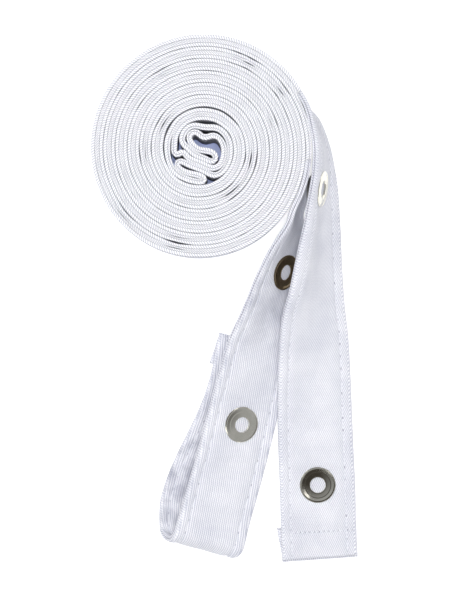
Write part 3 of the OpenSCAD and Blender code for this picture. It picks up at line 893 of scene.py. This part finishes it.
def twill(name, rib_angle, rib_pitch, holes, specks, hem_at=None, deep=None, shade_stretches=()):
    """Cotton twill, laid out in the strap's own length and width, in painted lit and shaded tones.
    holes is how dark the painted shade in the needle holes of the two seams is, and specks that in the gaps
    of the folded edges' hatch;
    hem_at is the length at which a hem is sewn across; deep, on the rolled strap only, is where the painted
    shade on the cloth between turns starts and ends; dulled lists the lengths that have patches of painted
    shade."""
    rolled = deep is not None
    m = Nodes(name)
    uv_map = m.new("ShaderNodeUVMap")
    uv_map.uv_map = "along"
    uv = uv_map.outputs["UV"]
    split = m.new("ShaderNodeSeparateXYZ")
    m.link(uv, split, "Vector")
    along, around = split.outputs["X"], split.outputs["Y"]
    from_groove = m.math("ABSOLUTE", around)
    wobble, fuzz = m.noise(uv, 0.35, 3.0), m.noise(uv, 6.0, 4.0)
    patches, patchy = m.noise(uv, 0.06, 3.0), m.noise(uv, 0.12, 2.0)

    edge_off, edge_full, hatch_share, blotchiness = ROLLED_CLOTH if rolled else LAID_CLOTH
    rib = ribs(m, along, around, wobble, rib_angle, rib_pitch)
    hatch = rope_hatch(m, along, around, wobble)
    edge = m.ramp(from_groove, edge_off, edge_full)
    yarn = m.math("ADD", rib, m.times(edge, hatch_share, m.math("SUBTRACT", hatch, rib)))
    tone = m.scaled(patches, blotchiness, m.scaled(yarn, 0.75, 0.17 - 0.45 * blotchiness))
    colour = m.mix(tone, SHADE, LIGHT)
    if rolled:
        colour = m.mix(edge, colour, m.mix(tone, EDGE_SHADE, EDGE_LIGHT))

    # painted shade: dotted dark lines in the groove between the plies and where two turns meet, and specks
    # in the valleys of the hatch
    valley = m.ramp(hatch, 0.6, 0.1)
    dotted = m.times(m.scaled(valley, 0.75, 0.25), m.ramp(patchy, 0.15, 0.6))
    line = m.ramp(from_groove, 1.1, 0.5)
    if rolled:
        line = m.most(line, m.times(m.ramp(around, 3.0, 3.6), m.ramp(around, 5.4, 4.6)))
    dark = m.most(m.times(line, dotted), m.times(edge, valley, specks))
    dark = m.most(dark, seam_holes(m, along, from_groove, patchy, holes))
    if hem_at is not None:
        dark = m.most(dark, hem_holes(m, uv, along, from_groove, hem_at))
    if rolled:
        dark = m.most(dark, deep_cloth_shade(m, along, from_groove, *deep))
    for stretch in shade_stretches:
        dark = m.most(dark, painted_shade_patches(m, uv, along, *stretch))

    # painted shade: all the dark marks above mix the cloth's colour towards SHADOW
    m.link(m.mix(dark, colour, SHADOW), m.shader, "Base Color")
    height = m.scaled(fuzz, 0.35, yarn)
    m.bump(m.math("SUBTRACT", height, m.times(dark, 1.2)), 0.00022, 0.8)
    m.link(m.scaled(fuzz, 0.12, 0.82), m.shader, "Roughness")
    m.set(Sheen_Weight=0.2, Sheen_Roughness=0.6, Specular_IOR_Level=0.2)
    return m.material


def thread_material():
    m = Nodes("sewing_thread")
    twist = m.noise(m.place(), 2600.0, 2.0)
    m.link(m.mix(twist, srgb(208, 211, 222), srgb(236, 238, 244)), m.shader, "Base Color")
    m.bump(twist, 0.0001)
    m.set(Roughness=0.6, Sheen_Weight=0.2)
    return m.material


# scale and detail of the grain and of the scratches, range and least roughness, and the scratches' depth
# and strength
NICKEL = ((180.0, 4.0), (1500.0, 3.0), (0.16, 0.08), (0.00002, 0.5))
WIRE = ((900.0, 2.0), (900.0, 2.0), (0.2, 0.25), (0.00003, 1.0))


def metal(name, dull, bright, grain, scratches, roughness, depth):
    """A metal whose grain varies its colour and its roughness."""
    m = Nodes(name)
    tone = m.noise(m.place(), *grain)
    m.link(m.mix(tone, dull, bright), m.shader, "Base Color")
    m.link(m.scaled(tone, *roughness), m.shader, "Roughness")
    m.bump(m.noise(m.place(), *scratches), *depth)
    m.set(Metallic=1.0)
    return m.material


def paint(material, *objects):
    for obj in objects:
        obj.data.materials.clear()
        obj.data.materials.append(material)


# --- build the object ---
roll_obj, roll_rows, roll_points = build_roll()
front_obj, front_strap, front_points = front_end()
rear_obj, rear_strap, rear_points = rear_end()
roll_thread_obj = roll_stitches(roll_rows, roll_points)
front_thread_obj = end_stitches("front_end_stitches", front_strap, front_points)
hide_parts("front_lead_seam_threads", "front_tip_seam_threads", "front_hem_thread")
blend_at(front_thread_obj, FRONT_SECTIONS, FRONT_HINGE)
rear_thread_obj = end_stitches("rear_end_stitches", rear_strap, rear_points)
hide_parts("rear_lead_seam_threads", "rear_fold_seam_threads", "rear_return_seam_threads",
            "rear_hem_thread")
blend_at(rear_thread_obj, REAR_SECTIONS, REAR_HINGE)
crowns = [ring_crown("front_tip_ring_crown", "front_end", FRONT_SECTIONS, FRONT_SNAPS[-1]),
          ring_crown("rear_lower_ring_crown", "belt_roll", REAR_SECTIONS, REAR_SNAPS[-1])]

OUTER_TURN = 2 * math.pi * ROLL_R
front_twill = twill("twill_front", -27, 0.9, holes=(0.3, 0.5), specks=0.05, hem_at=front_strap.hem)
# painted shade in patches on the rear end: on its lead near its upper snap, and on the part that comes back
# under it, beside the raised edge above
rear_twill = twill("twill_rear", 6, 1.1, holes=(0.35, 0.35), specks=0.05,
                   shade_stretches=[(58, 70, 88, 104, 0.16), (208, 222, 252, 285, 0.36)])
roll_twill = twill("twill_roll", -27, 0.9, holes=(0.4, 0.4), specks=0.24,
                   deep=(OUTER_TURN + 10, roll_rows.s[-1] - 60))
thread = thread_material()
snap_metal = metal("polished_nickel", srgb(206, 204, 192), srgb(238, 236, 226), *NICKEL)
# painted reflection: a dark brownish copy of the nickel for the rear end's upper ring, for the dark room it
# reflects from between the two ends
dark_reflection_metal = metal("nickel_painted_dark_reflection", srgb(92, 76, 50), srgb(140, 122, 92), *NICKEL)
wire = metal("drawn_wire", srgb(120, 120, 124), srgb(176, 176, 180), *WIRE)
paint(roll_twill, roll_obj)
paint(front_twill, front_obj)
paint(rear_twill, rear_obj)
paint(thread, roll_thread_obj, front_thread_obj, rear_thread_obj)
paint(snap_metal, *crowns)
for node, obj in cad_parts.items():
    if "spring" in node:
        paint(wire, obj)
    elif "thread" in node:
        paint(thread, obj)
    # this ring gets the nickel with the painted dark reflection
    elif node == "rear_upper_prong_ring":
        paint(dark_reflection_metal, obj)
    elif "ring" in node or "socket" in node or "stud" in node:
        paint(snap_metal, obj)


# --- floor, light and camera, in metres ---
# FLOOR_GLOW is the sheet's even glow; CORE_GLOW is the dimmer bluish glow under the roll, painted shade with
# a little painted light in the core's openings
FLOOR_GLOW, CORE_GLOW = 0.62, 0.22
GLOW_START, GLOW_FULL = 0.040, 0.052      # distances from the roll's axis between which the floor brightens


def floor():
    """A white sheet that glows a little, like a lit table. Under the roll it glows more weakly and bluer and
    is bluer itself: painted shade, with a little painted light so the core's openings don't go black.
    """
    far = 3.0
    mesh = bpy.data.meshes.new("floor")
    mesh.from_pydata([(-far, -far, 0), (far, -far, 0), (far, far, 0), (-far, far, 0)], [], [(0, 1, 2, 3)])
    obj = bpy.data.objects.new("floor", mesh)
    bpy.context.scene.collection.objects.link(obj)
    m = Nodes("floor_sheet")
    offset = m.new("ShaderNodeVectorMath")
    offset.operation = "DISTANCE"
    m.link(m.place(), offset, 0)
    offset.inputs[1].default_value = tuple(ROLL_AXIS * MM)
    lit = m.ramp(offset.outputs["Value"], GLOW_START, GLOW_FULL)
    m.link(m.scaled(lit, FLOOR_GLOW - CORE_GLOW, CORE_GLOW), m.shader, "Emission Strength")
    m.link(m.mix(lit, (0.6, 0.68, 1.0, 1), (1.0, 1.0, 1.0, 1)), m.shader, "Emission Color")
    m.link(m.mix(lit, (0.62, 0.7, 1.0, 1), (0.6, 0.6, 0.6, 1)), m.shader, "Base Color")
    m.set(Roughness=0.9, Specular_IOR_Level=0.1)
    mesh.materials.append(m.material)


WARM = (1.0, 0.985, 0.97)
# square lights that point at the origin: (name, place, size, power in watts, whether it shows in the metal)
LIGHTS = [
    ("key", (-0.95, 0.75, 1.4), 1.0, 9, True),
    ("fill", (1.1, -0.5, 1.3), 1.0, 3, False),
    ("back", (0.7, 1.0, 1.3), 0.8, 3, True),
    ("front", (-0.7, -1.0, 1.3), 0.8, 3.5, True),
    ("overhead", (0, 0, 1.4), 0.5, 14, False),
]
# the tent's colours, by the cosine of the angle from its dim direction
DIM_DIRECTION = (-0.15, 0.25, 0.95)
TENT = [(0.5, (0.96, 0.97, 1.0, 1)), (0.93, (0.10, 0.085, 0.07, 1))]
TENT_STRENGTH = 0.46


def studio():
    """A bright soft tent, with a dim part overhead like the room that the snaps reflect."""
    world = bpy.data.worlds.new("studio")
    bpy.context.scene.world = world
    world.use_nodes = True
    tree = world.node_tree
    place = tree.nodes.new("ShaderNodeTexCoord")
    facing = tree.nodes.new("ShaderNodeVectorMath")
    facing.operation = "DOT_PRODUCT"
    tree.links.new(place.outputs["Generated"], facing.inputs[0])
    facing.inputs[1].default_value = Vector(DIM_DIRECTION).normalized()
    ramp = tree.nodes.new("ShaderNodeValToRGB")
    tree.links.new(facing.outputs["Value"], ramp.inputs["Fac"])
    for element, (position, colour) in zip(ramp.color_ramp.elements, TENT):
        element.position, element.color = position, colour
    background = tree.nodes["Background"]
    tree.links.new(ramp.outputs["Color"], background.inputs["Color"])
    background.inputs["Strength"].default_value = TENT_STRENGTH
    for name, place, size, power, in_metal in LIGHTS:
        light = bpy.data.lights.new(name, "AREA")
        light.shape, light.size, light.energy, light.color = "SQUARE", size, power, WARM
        obj = bpy.data.objects.new(name, light)
        obj.location = place
        obj.rotation_euler = (-Vector(place)).to_track_quat("-Z", "Y").to_euler()
        obj.visible_glossy = in_metal
        bpy.context.scene.collection.objects.link(obj)
    bpy.context.scene.view_settings.view_transform = "Standard"


def camera():
    """Looks straight down. The picture is taller than wide, so the sensor's size counts for its height."""
    height, view_height, sensor = 1.25, 0.303, 36
    data = bpy.data.cameras.new("camera")
    data.sensor_width = sensor
    data.lens = sensor * height / view_height
    obj = bpy.data.objects.new("camera", data)
    obj.location = (-0.0006, 0.0005, height)
    bpy.context.scene.collection.objects.link(obj)
    bpy.context.scene.camera = obj


floor()
studio()
camera()

bpy.context.view_layer.update()
